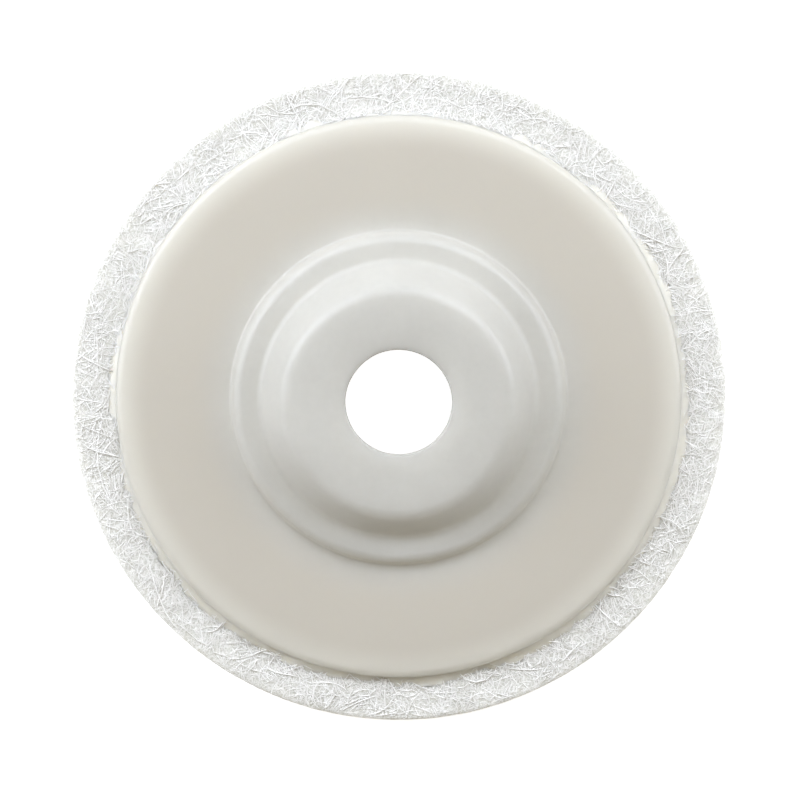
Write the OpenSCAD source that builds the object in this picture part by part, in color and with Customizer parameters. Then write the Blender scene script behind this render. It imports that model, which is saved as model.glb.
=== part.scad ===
// Felt polishing disc for a small angle grinder.
// A moulded nylon backing plate with a depressed centre is bonded to a thick ring of pressed felt.
// The disc lies on its working face with the hub up. The origin is the centre of that face.
// All sizes are in millimetres.

/* [Felt pad] */
// Outer diameter of the felt, which is the disc's nominal size
felt_d = 100; // [80:1:130]
// Thickness of the felt
felt_t = 10; // [6:0.5:16]
// Width of felt that stands out past the plate's rim
felt_overhang = 6.8; // [3:0.1:9]
// Gap from the mouth of the nut recess out to the felt's centre hole
felt_mouth_gap = 0.6; // [0:0.1:3]
// Softening of the felt's die-cut edges
felt_edge_r = 0.6; // [0.2:0.1:1.5]

/* [Backing plate] */
// Thickness of the plate's flat disc
plate_t = 2.2; // [1.8:0.1:4]
// Rounding of the disc's rim
rim_r = 1.2; // [0.2:0.1:1.6]
// Height of the raised collar above the disc
collar_h = 1.9; // [1.4:0.1:3]
// Width of the collar's shelf around the foot of the hub
collar_w = 3.8; // [2.5:0.1:6]
// Height of the hub above the disc
hub_h = 7.4; // [5.5:0.1:11]
// Slope of the hub's side, away from upright
hub_slope = 33; // [10:1:40]
// Wall thickness of the hub and the collar
wall_t = 2.5; // [1.8:0.1:3]
// Thickness of the web that the grinder clamps
web_t = 3; // [2:0.1:3.6]

/* [Arbor] */
// Diameter of the flange spigot that centres the disc
spigot_d = 16; // [10:0.1:22.5]
// Clearance all round the spigot
spigot_clear = 0.1; // [0.05:0.05:0.3]
// Diameter of the lock nut that sits in the recess
nut_d = 30; // [24:0.5:38]
// Room all round the lock nut
nut_clear = 1.5; // [1:0.1:4]

/* [Adhesive] */
// Thickness of the bond between the felt and the plate
bond_t = 0.4; // [0.2:0.1:1]
// Distance that the bond stays back from the felt's centre hole
bond_inset = 0.8; // [0.2:0.1:3]
// Width of the bead squeezed out around the rim
bead_w = 0.9; // [0.4:0.1:2]
// Height that the bead climbs up the rim
bead_h = 0.7; // [0.3:0.1:0.8]

/* [Hidden] */
$fn = 144;

// Roundings of the moulding's corners
collar_top_r = 1.6;
collar_foot_r = 0.5;
hub_top_edge_r = 2.2;
hub_foot_r = 1.3;
recess_r = 0.8;
bore_edge_r = 0.3;
// Slope of the collar's side, away from upright
collar_slope = 22;
// Number of steps in each rounded corner
arc_steps = 8;

felt_r = felt_d / 2;
plate_r = felt_r - felt_overhang;
bore_r = spigot_d / 2 + spigot_clear;
floor_r = nut_d / 2 + nut_clear;

// Levels, from the working face up
plate_front_z = felt_t + bond_t;
plate_back_z = plate_front_z + plate_t;
collar_z = plate_back_z + collar_h;
hub_z = plate_back_z + hub_h;
recess_floor_z = hub_z - web_t;
recess_step_z = collar_z - wall_t;

// Radii of the hub's side, which keeps its wall thickness around the recess
hub_edge_r = floor_r + wall_t / cos(hub_slope) - web_t * tan(hub_slope);
hub_base_r = hub_edge_r + (hub_z - collar_z) * tan(hub_slope);
collar_top_edge_r = hub_base_r + collar_w;
collar_r = collar_top_edge_r + collar_h * tan(collar_slope);
recess_step_r = floor_r + (recess_floor_z - recess_step_z) * tan(hub_slope);
mouth_r = collar_r - wall_t;

felt_hole_r = mouth_r + felt_mouth_gap;
bond_inner_r = felt_hole_r + bond_inset;

function unit(v) = v / norm(v);

// Points of the arc that rounds corner b, whose neighbours are a and c.
// A rounding takes at most half of the shorter side beside it.
function rounded_corner(a, b, c, r) =
    let (
        to_a = unit(a - b),
        to_c = unit(c - b),
        half_angle = acos(to_a * to_c) / 2,
        cut = min(r / tan(half_angle), norm(a - b) / 2, norm(c - b) / 2),
        arc_r = cut * tan(half_angle),
        centre = b + unit(to_a + to_c) * arc_r / sin(half_angle),
        first = b + to_a * cut - centre,
        turn = sign(cross(b - a, c - b)) * (180 - 2 * half_angle)
    )
    [
        for (i = [0:arc_steps])
            let (angle = atan2(first[1], first[0]) + turn * i / arc_steps)
            centre + arc_r * [cos(angle), sin(angle)]
    ];

// A closed outline from corners given as [radius, height, rounding]
function rounded_outline(corners) =
    let (
        n = len(corners),
        at = [for (c = corners) [c[0], c[1]]]
    )
    [
        for (i = [0:n - 1])
            each corners[i][2] == 0
                ? [at[i]]
                : rounded_corner(at[(i + n - 1) % n], at[i], at[(i + 1) % n], corners[i][2])
    ];

module turned(corners) {
    rotate_extrude()
        polygon(rounded_outline(corners));
}

// Ring of pressed wool felt, cut square and left with soft edges
module felt_pad() {
    color([0.93, 0.93, 0.91])
        turned([
            [felt_hole_r, 0, felt_edge_r],
            [felt_r, 0, felt_edge_r],
            [felt_r, felt_t, felt_edge_r],
            [felt_hole_r, felt_t, felt_edge_r]
        ]);
}

// Cured adhesive: the film under the plate and the bead squeezed out around its rim
module adhesive_bond() {
    color([0.88, 0.87, 0.8])
        turned([
            [bond_inner_r, felt_t, 0],
            [plate_r + bead_w, felt_t, 0],
            [plate_r + bead_w, plate_front_z + bead_h, bead_w],
            [plate_r, plate_front_z + bead_h, 0],
            [plate_r, plate_front_z, 0],
            [bond_inner_r, plate_front_z, 0]
        ]);
}

// One nylon moulding: flat disc, raised collar and hollow hub with the arbor bore in its web
module backing_plate() {
    color([0.87, 0.86, 0.8])
        turned([
            [bore_r, recess_floor_z, 0],
            [floor_r, recess_floor_z, recess_r],
            [recess_step_r, recess_step_z, recess_r],
            [mouth_r, recess_step_z, recess_r],
            [mouth_r, plate_front_z, 0],
            [plate_r, plate_front_z, 0],
            [plate_r, plate_back_z, rim_r],
            [collar_r, plate_back_z, collar_foot_r],
            [collar_top_edge_r, collar_z, collar_top_r],
            [hub_base_r, collar_z, hub_foot_r],
            [hub_edge_r, hub_z, hub_top_edge_r],
            [bore_r, hub_z, bore_edge_r]
        ]);
}

felt_pad();
adhesive_bond();
backing_plate();
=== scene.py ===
import math

import bmesh
import bpy
import numpy as np
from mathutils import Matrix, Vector, noise


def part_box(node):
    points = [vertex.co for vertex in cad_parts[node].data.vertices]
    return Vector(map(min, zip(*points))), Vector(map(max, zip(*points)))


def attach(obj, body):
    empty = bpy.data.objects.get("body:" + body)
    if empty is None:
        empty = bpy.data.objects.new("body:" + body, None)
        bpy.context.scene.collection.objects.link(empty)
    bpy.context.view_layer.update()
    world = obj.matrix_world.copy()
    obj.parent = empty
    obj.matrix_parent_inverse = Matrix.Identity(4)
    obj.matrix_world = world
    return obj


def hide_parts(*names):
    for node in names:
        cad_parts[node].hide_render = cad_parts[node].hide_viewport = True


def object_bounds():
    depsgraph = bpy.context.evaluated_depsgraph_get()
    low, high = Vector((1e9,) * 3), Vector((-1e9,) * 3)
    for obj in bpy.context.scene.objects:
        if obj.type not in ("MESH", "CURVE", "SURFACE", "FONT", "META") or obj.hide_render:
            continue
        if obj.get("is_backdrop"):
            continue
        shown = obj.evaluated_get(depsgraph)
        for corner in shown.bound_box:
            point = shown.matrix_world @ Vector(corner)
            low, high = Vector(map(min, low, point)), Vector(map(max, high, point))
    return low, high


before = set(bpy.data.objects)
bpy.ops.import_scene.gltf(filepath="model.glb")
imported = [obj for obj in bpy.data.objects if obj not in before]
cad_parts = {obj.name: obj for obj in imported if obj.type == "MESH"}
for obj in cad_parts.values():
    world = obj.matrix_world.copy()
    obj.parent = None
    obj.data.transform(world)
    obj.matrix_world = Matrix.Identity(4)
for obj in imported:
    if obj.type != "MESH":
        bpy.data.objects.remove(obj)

MM = 0.001
cad_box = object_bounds()


# Felt pad: a thick ring of white wool, felted and pressed hard, and die-cut to size. Its surface is
# slightly lumpy, its cut edges are a little uneven, and its lower face is the one that polishes.
def section(node):
    """The (radius, height) outline of a turned CAD node, anticlockwise from its lowest inner corner."""
    solid = bmesh.new()
    solid.from_mesh(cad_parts[node].data)
    bmesh.ops.remove_doubles(solid, verts=solid.verts, dist=1e-7)
    parts = solid.verts[:] + solid.edges[:] + solid.faces[:]
    cut = bmesh.ops.bisect_plane(
        solid, geom=parts, plane_co=(0, 0, 0), plane_no=(0, 1, 0), dist=1e-7
    )
    beside = {}
    for part in cut["geom_cut"]:
        if isinstance(part, bmesh.types.BMEdge) and min(v.co.x for v in part.verts) > 0:
            a, b = part.verts
            beside.setdefault(a, []).append(b)
            beside.setdefault(b, []).append(a)
    start = min(beside, key=lambda v: (round(v.co.z, 6), v.co.x))
    before = min(beside[start], key=lambda v: v.co.x)
    outline = [start]
    here = start
    while True:
        after = next(v for v in beside[here] if v != before)
        if after == start:
            break
        outline.append(after)
        before, here = here, after
    points = np.array([(v.co.x, v.co.z) for v in outline])
    solid.free()
    return points


def fine(outline, spacing):
    """The same outline with points added along it, spacing(radius, height) apart."""
    points = []
    for a, b in zip(outline, np.roll(outline, -1, axis=0)):
        length = np.linalg.norm(b - a)
        points.append(a)
        step = spacing(*a)
        gone = step
        while gone < length - 0.3 * step:
            points.append(a + (b - a) * gone / length)
            step = spacing(*points[-1])
            gone += step
    return np.array(points)


def outward(outline):
    """The unit normal at each point of an outline."""
    along = np.roll(outline, -1, axis=0) - np.roll(outline, 1, axis=0)
    normal = np.stack([along[:, 1], -along[:, 0]], axis=1)
    return normal / np.linalg.norm(normal, axis=1, keepdims=True)


def spun(outline, columns):
    """Points of an outline turned around the axis, as an array of rows, columns and x, y, z."""
    turn = np.arange(columns) * math.tau / columns
    radius = outline[:, :1]
    height = outline[:, 1:] + np.zeros_like(turn)
    return np.stack([radius * np.cos(turn), radius * np.sin(turn), height], axis=-1)


def piece(name, points, faces, material):
    """A smooth piece on the disc, made from points and faces."""
    mesh = bpy.data.meshes.new(name)
    mesh.from_pydata(points.reshape(-1, 3).tolist(), [], faces.reshape(-1, faces.shape[-1]).tolist())
    mesh.shade_smooth()
    mesh.materials.append(material)
    made = bpy.data.objects.new(name, mesh)
    bpy.context.scene.collection.objects.link(made)
    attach(made, "root")
    return made


def ring_faces(rows, columns):
    """The faces of a grid of points that closes on itself both ways."""
    row, column = np.meshgrid(np.arange(rows), np.arange(columns), indexing="ij")
    next_row = (row + 1) % rows
    next_column = (column + 1) % columns
    corners = [(row, column), (row, next_column), (next_row, next_column), (next_row, column)]
    return np.stack([r * columns + c for r, c in corners], axis=-1)


def bumps(points, size, seed):
    """Smooth noise from -1 to 1 at each point, with bumps about size across."""
    shift = Vector((seed * 7.3, seed * 3.1, seed * 5.7))
    flat = points.reshape(-1, 3) / size
    values = [noise.noise(Vector(p) + shift) for p in flat]
    return np.array(values).reshape(points.shape[:-1])


def colour(code):
    """A linear colour from an sRGB hex code."""
    srgb = [int(code[i:i + 2], 16) / 255 for i in (1, 3, 5)]
    linear = [c / 12.92 if c <= 0.04045 else ((c + 0.055) / 1.055) ** 2.4 for c in srgb]
    return (*linear, 1)


def add(tree, kind, inputs=None, **settings):
    """Add a node with its settings, and give each input a value or a link."""
    node = tree.nodes.new(kind)
    for name, value in settings.items():
        setattr(node, name, value)
    for key, value in (inputs or {}).items():
        if isinstance(value, bpy.types.NodeSocket):
            tree.links.new(value, node.inputs[key])
        else:
            node.inputs[key].default_value = value
    return node


def new_material(name):
    """A material with nothing in it but its output."""
    material = bpy.data.materials.new(name)
    material.use_nodes = True
    material.node_tree.nodes.clear()
    return material, material.node_tree


def pressed_wool(light, pore_shade):
    """Pressed wool, die-cut and unsheared: matt and white, with short strokes of fibre that cross in every
    direction, and fine pores between them that are darkened with painted shade. Wool is about 0.03 mm
    thick, and a stroke is drawn 0.12 mm thick here, because the real one is too fine to show."""
    fibre_t = 0.12 * MM
    material, tree = new_material("Pressed_wool_felt")
    place = add(tree, "ShaderNodeTexCoord").outputs["Object"]
    bend = add(tree, "ShaderNodeTexNoise", {"Vector": place, "Scale": 1 / (3 * MM), "Detail": 1})
    bent = add(
        tree,
        "ShaderNodeVectorMath",
        {0: bend.outputs["Color"], 1: (1.2 * MM,) * 3, 2: place},
        operation="MULTIPLY_ADD",
    )
    strokes = None
    for turn in ((0, 0.2, 0.3), (0.3, 0, 1.4), (0.5, 0.4, 2.3), (1.5, 0.2, 0.9), (0.2, 1.3, 2.8)):
        turned = add(
            tree,
            "ShaderNodeMapping",
            {"Vector": bent.outputs["Vector"], "Rotation": turn, "Scale": (8, 1, 1)},
            vector_type="TEXTURE",
        )
        stroke = add(
            tree,
            "ShaderNodeTexNoise",
            {"Vector": turned.outputs["Vector"], "Scale": 1 / (2 * fibre_t), "Detail": 1},
        )
        height = stroke.outputs["Fac"]
        if strokes is not None:
            height = add(tree, "ShaderNodeMath", {0: strokes, 1: height}, operation="MAXIMUM")
            height = height.outputs["Value"]
        strokes = height
    depth = add(
        tree,
        "ShaderNodeMapRange",
        {"Value": strokes, "From Min": 0.5, "From Max": 0.72},
        interpolation_type="SMOOTHSTEP",
    )
    # The pore colour is painted shade: it darkens the felt between the strokes, where the fibres shade each
    # other.
    tone = add(
        tree,
        "ShaderNodeMix",
        {0: depth.outputs["Result"], 6: colour(pore_shade), 7: colour(light)},
        data_type="RGBA",
    )
    patch = add(tree, "ShaderNodeTexNoise", {"Vector": place, "Scale": 1 / (5 * MM), "Detail": 2})
    packed = add(
        tree,
        "ShaderNodeMapRange",
        {"Value": patch.outputs["Fac"], "From Min": 0.35, "From Max": 0.65, "To Min": 0.94},
    )
    tone = add(
        tree,
        "ShaderNodeMix",
        {0: 1.0, 6: tone.outputs[2], 7: packed.outputs["Result"]},
        data_type="RGBA",
        blend_type="MULTIPLY",
    )
    bump = add(
        tree,
        "ShaderNodeBump",
        {"Height": depth.outputs["Result"], "Strength": 0.8, "Distance": fibre_t},
    )
    shader = add(
        tree,
        "ShaderNodeBsdfPrincipled",
        {
            "Base Color": tone.outputs[2],
            "Normal": bump.outputs["Normal"],
            "Roughness": 0.95,
            "IOR": 1.54,
            "Specular IOR Level": 0.25,
            "Sheen Weight": 0.15,
            "Sheen Roughness": 0.6,
            "Subsurface Weight": 0.7,
            "Subsurface Scale": 1.5 * MM,
            "Subsurface Radius": (1, 1, 1),
        },
    )
    add(tree, "ShaderNodeOutputMaterial", {"Surface": shader.outputs["BSDF"]})
    return material


felt_low, felt_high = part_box("felt_pad")
plate_low, plate_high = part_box("backing_plate")
plate_r = plate_high[0]
felt_top = felt_high[2]
glued_r = plate_r - 0.2 * MM

# A point this close to a face lies on it. Points are far apart where nothing shows.
face_near = 0.1 * MM
hidden_gap = 3 * MM
felt_gap = 0.48 * MM


def felt_spacing(radius, height):
    """Felt is fine where it shows, and coarse under the plate."""
    covered = radius < glued_r and height > felt_top - face_near
    return hidden_gap if covered else felt_gap


felt_outline = fine(section("felt_pad"), felt_spacing)
felt_normal = outward(felt_outline)
felt_radius, felt_height = felt_outline.T
felt_columns = 700
felt_points = spun(felt_outline, felt_columns)

# Pressing leaves low swells, tufts and small knots in the wool. They are flatter on the working face,
# under the plate, and at the outer edge, where the die cut through them.
swells = 0.16 * MM * bumps(felt_points, 9 * MM, 1)
tufts = 0.11 * MM * bumps(felt_points, 2.2 * MM, 2)
knots = 0.1 * MM * bumps(felt_points, 0.9 * MM, 3)
covered = (felt_radius < glued_r) & (felt_height > felt_top - face_near)
on_face = felt_height < felt_low[2] + 0.05 * MM
edge_band = 1.5 * MM
pressed = np.clip((felt_high[0] - felt_radius) / edge_band, 0.25, 1)
pressed = np.where(covered | on_face, 0.3, pressed)
felt_lumps = (swells + tufts + knots) * pressed[:, None]

# The open wool springs up a little past the glued rim, and is banked against the bead of adhesive.
spring = 0.12 * MM
spring_ends = felt_high[0] - 3 * MM
spring_w = 3.5 * MM
bank = 0.22 * MM
bank_w = 1.2 * MM
felt_rise = spring * np.clip((spring_ends - felt_radius) / spring_w, 0, 1) ** 2
felt_rise += bank * np.clip((plate_r + bank_w - felt_radius) / bank_w, 0, 1) ** 1.5
on_back = (felt_height > felt_top - 1e-5) & ~covered
felt_lumps += np.where(on_back, felt_rise, 0)[:, None]


def along_normal(outline, normal, columns):
    """The outline's normals turned around the axis."""
    flat = np.concatenate([normal[:, :1], 0 * normal[:, :1]], axis=1)
    direction = spun(flat, columns)
    direction[:, :, 2] = normal[:, 1:]
    return direction


felt_points += along_normal(felt_outline, felt_normal, felt_columns) * felt_lumps[:, :, None]
# The second wool colour is painted shade for the pores between the fibres.
felt = piece(
    "felt_ring",
    felt_points,
    ring_faces(len(felt_outline), felt_columns),
    pressed_wool("#F4F2EE", "#D3D1C8"),
)
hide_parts("felt_pad")


# Loose wool on the felt: single fibres that the pressing left at the surface. They are matted flat on
# the back and the working face, and short on the edges, where the die cut them.
# Wool is 0.02 to 0.04 mm thick. These fibres are drawn some four times as thick, so that they show.
felt_along = np.concatenate([[0], np.cumsum(np.linalg.norm(np.diff(felt_outline, axis=0), axis=1))])


def on_felt(turn, along):
    """Points on the lumpy felt and their normals, from the turn and the distance along its outline."""
    row = np.interp(along, felt_along, np.arange(len(felt_along)))
    radius = np.interp(along, felt_along, felt_radius)
    height = np.interp(along, felt_along, felt_height)
    normal = np.stack([np.interp(along, felt_along, felt_normal[:, i]) for i in (0, 1)], axis=-1)
    normal /= np.linalg.norm(normal, axis=-1, keepdims=True)
    column = turn / math.tau * felt_columns
    r0 = np.floor(row).astype(int)
    c0 = np.floor(column).astype(int)
    r1 = np.minimum(r0 + 1, len(felt_along) - 1)
    fr = row - r0
    fc = column - c0
    c1 = (c0 + 1) % felt_columns
    c0 = c0 % felt_columns
    lump = (
        felt_lumps[r0, c0] * (1 - fr) * (1 - fc)
        + felt_lumps[r0, c1] * (1 - fr) * fc
        + felt_lumps[r1, c0] * fr * (1 - fc)
        + felt_lumps[r1, c1] * fr * fc
    )
    out = np.stack([np.cos(turn), np.sin(turn), np.zeros_like(turn)], axis=-1)
    up = np.array([0, 0, 1])
    point = out * radius[..., None] + up * height[..., None]
    normal = out * normal[..., :1] + up * normal[..., 1:]
    return point + normal * lump[..., None], normal


def fibres(name, seed, count, first, last, length, lift, thickness, loose, material):
    """Curved, tapered fibres, scattered over the felt from first to last along its outline. Each one arches
    by about lift, and the share of them called loose has one end standing free."""
    rng = np.random.default_rng(seed)
    steps = 7
    overhang = 0.5 * MM
    area = np.cumsum(np.interp(np.linspace(first, last, 400), felt_along, felt_radius))
    start = np.interp(rng.random(count), area / area[-1], np.linspace(first, last, 400))
    turn = rng.random(count) * math.tau
    size = np.clip(length * np.exp(rng.normal(0, 0.55, count)), 0.3 * length, 3.2 * length)
    t = np.linspace(0, 1, steps)
    heading = rng.random(count)[:, None] * math.tau
    heading = heading + rng.normal(0, 1.1, count)[:, None] * (t - 0.5)
    heading = heading + rng.normal(0, 1.2, count)[:, None] * (t - 0.5) ** 2
    step = size[:, None] / (steps - 1)
    across = np.cumsum(step * np.cos(heading), axis=1)
    along = np.cumsum(step * np.sin(heading), axis=1)
    across -= across.mean(axis=1, keepdims=True)
    along -= along.mean(axis=1, keepdims=True)
    radius = np.interp(start, felt_along, felt_radius)[:, None]
    turn = turn[:, None] + across / radius
    along = np.clip(start[:, None] + along, first - overhang, last)
    point, normal = on_felt(turn, np.clip(along, 0, felt_along[-1]))
    arch = lift * rng.gamma(2, 0.5, count)[:, None] * np.sin(math.pi * t)
    free = (rng.random(count) < loose)[:, None] * t ** 2 * lift * rng.gamma(2, 0.9, count)[:, None]
    point = point + normal * (arch + free - 0.3 * thickness)[..., None]
    forward = np.gradient(point, axis=1)
    forward /= np.linalg.norm(forward, axis=2, keepdims=True)
    side = np.cross(forward, normal)
    side /= np.linalg.norm(side, axis=2, keepdims=True)
    top = np.cross(side, forward)
    width = thickness / 2 * rng.uniform(0.7, 1.3, count)[:, None] * (1 - 0.8 * np.abs(2 * t - 1) ** 4)
    rim = [
        point + width[..., None] * (math.cos(a) * side + math.sin(a) * top)
        for a in (math.pi / 6, math.pi * 5 / 6, math.pi * 3 / 2)
    ]
    rim = np.stack(rim, axis=2)
    base = np.arange(count)[:, None, None] * steps * 3
    ring = np.arange(steps - 1)[None, :, None] * 3
    spoke = np.arange(3)[None, None, :]
    a = base + ring + spoke
    b = base + ring + (spoke + 1) % 3
    walls = np.stack([a, a + 3, b + 3, b], axis=-1).reshape(-1, 4)
    sides = np.concatenate([walls[:, [0, 1, 2]], walls[:, [0, 2, 3]]])
    ends = np.concatenate([base[:, 0] + [[0, 1, 2]], base[:, 0] + (steps - 1) * 3 + [[2, 1, 0]]])
    return piece(name, rim, np.concatenate([sides, ends]), material)


def loose_wool():
    """Scoured wool fibre: white, smooth and faintly lustrous, so each strand catches a soft light."""
    material, tree = new_material("Loose_wool_fibre")
    place = add(tree, "ShaderNodeTexCoord").outputs["Object"]
    shade = add(tree, "ShaderNodeTexNoise", {"Vector": place, "Scale": 1 / (1.5 * MM), "Detail": 2})
    tone = add(
        tree,
        "ShaderNodeMix",
        {0: shade.outputs["Fac"], 6: colour("#F1EFEB"), 7: colour("#FCFAF7")},
        data_type="RGBA",
    )
    shader = add(
        tree,
        "ShaderNodeBsdfPrincipled",
        {
            "Base Color": tone.outputs[2],
            "Roughness": 0.55,
            "IOR": 1.54,
            "Sheen Weight": 0.2,
            "Sheen Roughness": 0.5,
        },
    )
    add(tree, "ShaderNodeOutputMaterial", {"Surface": shader.outputs["BSDF"]})
    return material


wool_fibre = loose_wool()
face_width = felt_high[0] - felt_outline[0, 0]
felt_t = felt_high[2] - felt_low[2]
back_starts = face_width + felt_t + 0.2 * MM
back_ends = felt_along[np.argmin(np.hypot(*(felt_outline - (plate_r, felt_top)).T))]
fibres(
    "felt_fibres_back", 11, 3800, back_starts, back_ends,
    2.4 * MM, 0.08 * MM, 0.13 * MM, 0.08, wool_fibre,
)
fibres(
    "felt_fibres_long", 14, 320, back_starts + 0.5 * MM, back_ends,
    5 * MM, 0.12 * MM, 0.17 * MM, 0.05, wool_fibre,
)
fibres(
    "felt_fibres_side", 12, 2200, face_width, back_starts,
    1.2 * MM, 0.01 * MM, 0.08 * MM, 0, wool_fibre,
)
fibres(
    "felt_fibres_face", 13, 5000, 0.3 * MM, face_width,
    2.6 * MM, 0.05 * MM, 0.12 * MM, 0.02, wool_fibre,
)


# Adhesive bond: a film between the felt and the plate, and the bead that it squeezed out around the
# plate's rim. The bead is uneven, because the glue was spread by hand and soaked into the wool.
bead_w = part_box("adhesive_bond")[1][0] - plate_r
bead_tuck = 0.45 * MM
bead_slope = 0.5
bead_gap = 0.15 * MM


def bond_spacing(radius, height):
    """The bead is fine, and the hidden film is coarse."""
    return bead_gap if radius > glued_r else hidden_gap


bond_outline = fine(section("adhesive_bond"), bond_spacing)
bond_columns = 900
bond_points = spun(bond_outline, bond_columns)
bond_turn = np.arange(bond_columns) * math.tau / bond_columns
rim_line = np.stack([np.cos(bond_turn), np.sin(bond_turn), 0 * bond_turn], axis=-1) * plate_r

# The bead wets the rounded rim and runs out to nothing on the felt. It is widest towards +X and -Y, and
# its width wanders by half a millimetre.
squeeze = (
    1.5
    + 0.35 * np.cos(bond_turn + math.radians(50))
    + 0.45 * bumps(rim_line, 10 * MM, 21)
    + 0.25 * bumps(rim_line, 2.5 * MM, 22)
)
squeeze = np.clip(squeeze, 0.6, 2.2)
bond_radius, bond_height = bond_outline[:, :1], bond_outline[:, 1:]
across_bead = np.clip((bond_radius - plate_r) / bead_w, 0, 1)
bead_reach = bead_w * squeeze
on_rim = (np.abs(bond_radius - plate_r) < 1e-6) & (bond_height > plate_low[2] + 1e-6)
past_rim = across_bead > 1e-3
bead_radius = plate_r - bead_tuck + (bead_reach + bead_tuck) * across_bead
bead_radius = np.where(past_rim | on_rim, bead_radius, bond_radius)
bond_points[:, :, 0] = bead_radius * np.cos(bond_turn)
bond_points[:, :, 1] = bead_radius * np.sin(bond_turn)
bead_top = felt_top + bead_slope * (bead_reach + bead_tuck) * (1 - across_bead) ** 1.5
ripples = 0.06 * MM * bumps(bond_points, 1.5 * MM, 23) + 0.04 * MM * bumps(bond_points, 0.6 * MM, 24)
at_top = bond_height > bond_height.max() - 1e-6
on_bead = (past_rim & (bond_height > felt_top + 1e-5)) | (on_rim & at_top)
bond_points[:, :, 2] = np.where(on_bead, bead_top + ripples, bond_points[:, :, 2])


def cured_glue():
    """Cured contact adhesive: cream, waxy and half see-through, with a soft gloss."""
    material, tree = new_material("Cured_contact_adhesive")
    place = add(tree, "ShaderNodeTexCoord").outputs["Object"]
    cloud = add(tree, "ShaderNodeTexNoise", {"Vector": place, "Scale": 1 / (2 * MM), "Detail": 3})
    tone = add(
        tree,
        "ShaderNodeMix",
        {0: cloud.outputs["Fac"], 6: colour("#DDD8CA"), 7: colour("#ECE8DD")},
        data_type="RGBA",
    )
    bump = add(
        tree,
        "ShaderNodeBump",
        {"Height": cloud.outputs["Fac"], "Strength": 0.4, "Distance": 0.1 * MM},
    )
    shader = add(
        tree,
        "ShaderNodeBsdfPrincipled",
        {
            "Base Color": tone.outputs[2],
            "Normal": bump.outputs["Normal"],
            "Roughness": 0.7,
            "IOR": 1.5,
            "Specular IOR Level": 0.3,
            "Subsurface Weight": 1,
            "Subsurface Scale": 1.5 * MM,
            "Subsurface Radius": (1, 0.9, 0.7),
        },
        subsurface_method="BURLEY",
    )
    add(tree, "ShaderNodeOutputMaterial", {"Surface": shader.outputs["BSDF"]})
    return material


bond = piece(
    "glue_bead",
    bond_points,
    ring_faces(len(bond_outline), bond_columns),
    cured_glue(),
)
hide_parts("adhesive_bond")


# Backing plate: one injection moulding in natural nylon, with a flat disc, a raised collar and a hollow
# hub. Nylon shrinks as it cools, so the surface is never quite flat.
plate_gap = 0.5 * MM
felt_hole_r = felt_outline[:, 0].min()


def plate_spacing(radius, height):
    """The plate is fine where it shows, and coarse where it is glued down."""
    glued = height < plate_low[2] + face_near and radius > felt_hole_r
    return hidden_gap if glued else plate_gap


plate_outline = fine(section("backing_plate"), plate_spacing)
plate_normal = outward(plate_outline)
plate_columns = 530
plate_points = spun(plate_outline, plate_columns)
plate_radius, plate_height = plate_outline.T
glued = plate_height < plate_low[2] + face_near
plate_waves = 0.05 * MM * bumps(plate_points, 22 * MM, 31) + 0.012 * MM * bumps(plate_points, 6 * MM, 32)
plate_waves *= np.where(glued, 0, 1)[:, None]
plate_points += along_normal(plate_outline, plate_normal, plate_columns) * plate_waves[:, :, None]

# The disc's back falls slightly to its rim, and the hub's face is crowned between its bore and its edge.
disc_fall = 0.55 * MM
disc_starts = 26 * MM
rim_fall = 0.2 * MM
rim_w = 4 * MM
crown = 0.2 * MM
crown_r = 12.5 * MM
crown_w = 4.4 * MM
disc_t = 2.2 * MM
hub_depth = 4 * MM
to_rim = np.clip((plate_radius - disc_starts) / (plate_r - disc_starts), 0, 1)
over_rim = np.clip((plate_radius - plate_r) / rim_w + 1, 0, 1)
up_hub = np.clip((plate_height - plate_high[2]) / hub_depth + 1, 0, 1)
off_crown = np.clip(np.abs(plate_radius - crown_r) / crown_w, 0, 1)
fall = disc_fall * to_rim ** 2 + rim_fall * over_rim ** 2 + crown * up_hub * off_crown ** 2
fall *= np.clip((plate_height - plate_low[2]) / disc_t, 0, 1)
plate_points[:, :, 2] -= fall[:, None]


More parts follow.
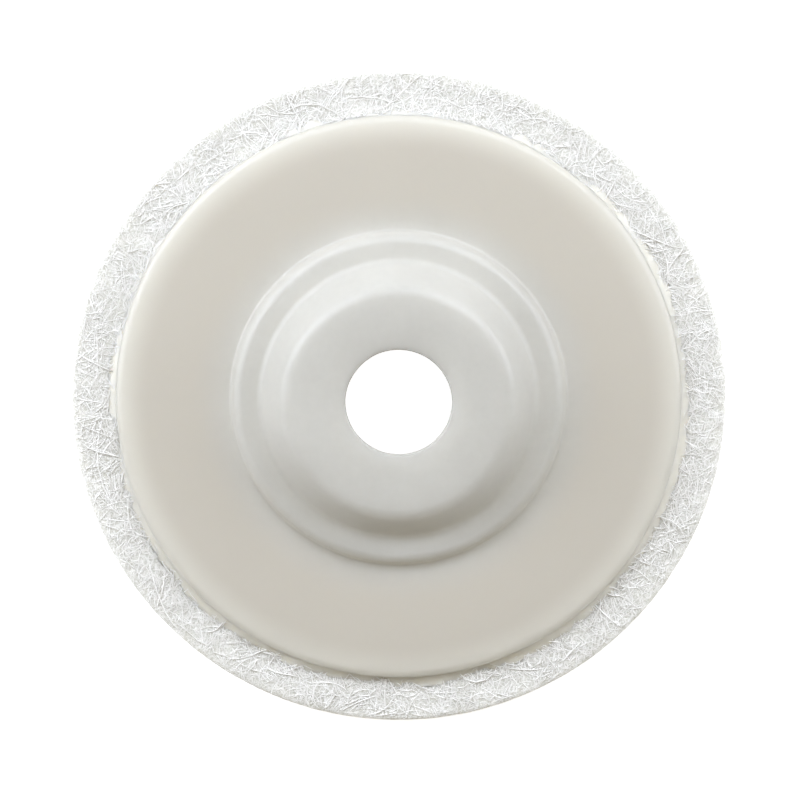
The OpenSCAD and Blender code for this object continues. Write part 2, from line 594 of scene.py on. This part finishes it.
def moulded_nylon():
    """Natural nylon, moulded and unpolished: ivory and faintly see-through, with a satin gloss. Its tint is
    greyest on the thick hub, warmer where the disc lies on the felt, and lightened at the rim by a painted
    highlight."""
    material, tree = new_material("Moulded_natural_nylon")
    place = add(tree, "ShaderNodeTexCoord").outputs["Object"]
    flow = add(tree, "ShaderNodeTexNoise", {"Vector": place, "Scale": 1 / (14 * MM), "Detail": 3})
    mottle = add(tree, "ShaderNodeTexNoise", {"Vector": place, "Scale": 1 / (1.2 * MM), "Detail": 4})
    blend = add(
        tree,
        "ShaderNodeMath",
        {0: mottle.outputs["Fac"], 1: 0.35, 2: flow.outputs["Fac"]},
        operation="MULTIPLY_ADD",
    )
    spread = add(
        tree,
        "ShaderNodeMapRange",
        {"Value": blend.outputs["Value"], "From Min": 0.45, "From Max": 0.9},
    )
    tone = add(
        tree,
        "ShaderNodeMix",
        {0: spread.outputs["Result"], 6: colour("#B2B0AA"), 7: colour("#BAB8B2")},
        data_type="RGBA",
    )
    grain = add(tree, "ShaderNodeTexNoise", {"Vector": place, "Scale": 1 / (0.5 * MM), "Detail": 3})
    bump = add(
        tree,
        "ShaderNodeBump",
        {"Height": grain.outputs["Fac"], "Strength": 0.15, "Distance": 0.02 * MM},
    )
    gloss = add(
        tree,
        "ShaderNodeMapRange",
        {"Value": mottle.outputs["Fac"], "To Min": 0.37, "To Max": 0.45},
    )
    flat = add(tree, "ShaderNodeVectorMath", {0: place, 1: (1, 1, 0)}, operation="MULTIPLY")
    radius = add(tree, "ShaderNodeVectorMath", {0: flat.outputs["Vector"]}, operation="LENGTH")
    glued = add(
        tree,
        "ShaderNodeMapRange",
        {"Value": radius.outputs["Value"], "From Min": 24 * MM, "From Max": 32 * MM},
        interpolation_type="SMOOTHSTEP",
    )
    warmed = add(
        tree,
        "ShaderNodeMix",
        {0: glued.outputs["Result"], 6: tone.outputs[2], 7: colour("#B9B3A7")},
        data_type="RGBA",
    )
    # Painted highlight: the base colour lightens over the last few millimetres to the rim. This stands in
    # for the light that the rounded rim catches and that shines through its thin edge.
    painted_rim_light = add(
        tree,
        "ShaderNodeMapRange",
        {"Value": radius.outputs["Value"], "From Min": 38 * MM, "From Max": 43.5 * MM},
        interpolation_type="SMOOTHSTEP",
    )
    rim_highlight_tone = add(
        tree,
        "ShaderNodeMix",
        {0: painted_rim_light.outputs["Result"], 6: warmed.outputs[2], 7: colour("#CCC8BD")},
        data_type="RGBA",
    )
    shader = add(
        tree,
        "ShaderNodeBsdfPrincipled",
        {
            "Base Color": rim_highlight_tone.outputs[2],
            "Normal": bump.outputs["Normal"],
            "Roughness": gloss.outputs["Result"],
            "IOR": 1.53,
            "Subsurface Weight": 1,
            "Subsurface Scale": 5 * MM,
            "Subsurface Radius": (1, 0.95, 0.85),
        },
        subsurface_method="BURLEY",
    )
    add(tree, "ShaderNodeOutputMaterial", {"Surface": shader.outputs["BSDF"]})
    return material


plate = piece(
    "nylon_plate",
    plate_points,
    ring_faces(len(plate_outline), plate_columns),
    moulded_nylon(),
)
plate.data.set_sharp_from_angle(angle=math.radians(40))
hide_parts("backing_plate")


# Studio: the disc lies on a lit white sheet. Two wide soft lights stand beyond it to the left and the
# right, two weaker ones fill in its sides, and the room around it is an even warm white.
scene = bpy.context.scene
scene.view_settings.view_transform = "Standard"
world = bpy.data.worlds.new("Studio")
world.use_nodes = True
world.node_tree.nodes.clear()
sky = add(world.node_tree, "ShaderNodeBackground", {"Color": colour("#FFF2D2"), "Strength": 0.29})
add(world.node_tree, "ShaderNodeOutputWorld", {"Surface": sky.outputs["Background"]})
scene.world = world

# The sheet shines under the bore and outside the felt, and is plain white paper under the disc.
sheet_gap = 0.4 * MM
bore_glow_r = 10.5 * MM
felt_glow_r = felt_high[0] - 1.5 * MM
sheet_glow = 0.62
floor_mesh = bpy.data.meshes.new("floor")
half = 1.5
floor_mesh.from_pydata(
    [(-half, -half, 0), (half, -half, 0), (half, half, 0), (-half, half, 0)], [], [(0, 1, 2, 3)]
)
floor = bpy.data.objects.new("floor", floor_mesh)
floor.location.z = cad_box[0][2] - sheet_gap
scene.collection.objects.link(floor)
paper, paper_tree = new_material("White_backlit_sheet")
paper_place = add(paper_tree, "ShaderNodeTexCoord").outputs["Object"]
paper_radius = add(paper_tree, "ShaderNodeVectorMath", {0: paper_place}, operation="LENGTH")
paper_radius = paper_radius.outputs["Value"]
under_bore = add(
    paper_tree,
    "ShaderNodeMath",
    {0: paper_radius, 1: bore_glow_r},
    operation="LESS_THAN",
)
past_felt = add(
    paper_tree,
    "ShaderNodeMath",
    {0: paper_radius, 1: felt_glow_r},
    operation="GREATER_THAN",
)
lit = add(
    paper_tree,
    "ShaderNodeMath",
    {0: past_felt.outputs["Value"], 1: sheet_glow, 2: under_bore.outputs["Value"]},
    operation="MULTIPLY_ADD",
)
paper_shader = add(
    paper_tree,
    "ShaderNodeBsdfPrincipled",
    {
        "Base Color": colour("#F4F4F4"),
        "Roughness": 0.9,
        "Emission Color": colour("#FFFFFF"),
        "Emission Strength": lit.outputs["Value"],
    },
)
add(paper_tree, "ShaderNodeOutputMaterial", {"Surface": paper_shader.outputs["BSDF"]})
floor_mesh.materials.append(paper)
floor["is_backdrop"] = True

centre = (Vector(cad_box[0]) + Vector(cad_box[1])) / 2


def softbox(name, compass, elevation, distance, width, height, power):
    """A cool soft light that faces the disc. Its compass angle runs from +X towards +Y, in degrees."""
    data = bpy.data.lights.new(name, "AREA")
    data.shape = "RECTANGLE"
    data.size = width
    data.size_y = height
    data.energy = power
    data.color = colour("#ECF3FF")[:3]
    box = bpy.data.objects.new(name, data)
    compass, elevation = math.radians(compass), math.radians(elevation)
    level = math.cos(elevation)
    away = Vector((level * math.cos(compass), level * math.sin(compass), math.sin(elevation)))
    box.location = centre + distance * away
    box.rotation_euler = away.to_track_quat("Z", "Y").to_euler()
    scene.collection.objects.link(box)


softbox("left_key", 130, 42, 1.5, 0.9, 0.6, 14.4)
softbox("right_key", 60, 42, 1.5, 0.9, 0.6, 12.7)
softbox("left_fill", 164, 25, 0.7, 0.45, 0.3, 2.9)
softbox("right_fill", 18, 25, 0.7, 0.45, 0.3, 2.3)

# The camera looks down from 2.2 m and stands a little towards +Y, so a sliver of the felt's side shows.
tilt = math.radians(6.3)
distance = 2.2
frame_width = 122.3 * MM
camera_data = bpy.data.cameras.new("camera")
camera_data.sensor_width = 36
camera_data.lens = camera_data.sensor_width * distance / frame_width
camera = bpy.data.objects.new("camera", camera_data)
aim = Vector((0.2 * MM, -0.6 * MM, felt_top))
camera.location = aim + distance * Vector((0, math.sin(tilt), math.cos(tilt)))
camera.rotation_euler = (-tilt, 0, 0)
scene.collection.objects.link(camera)
scene.camera = camera

sizes = {"cad": cad_box, "visual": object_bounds()}
sizes = {name: [list(map(float, corner)) for corner in box] for name, box in sizes.items()}
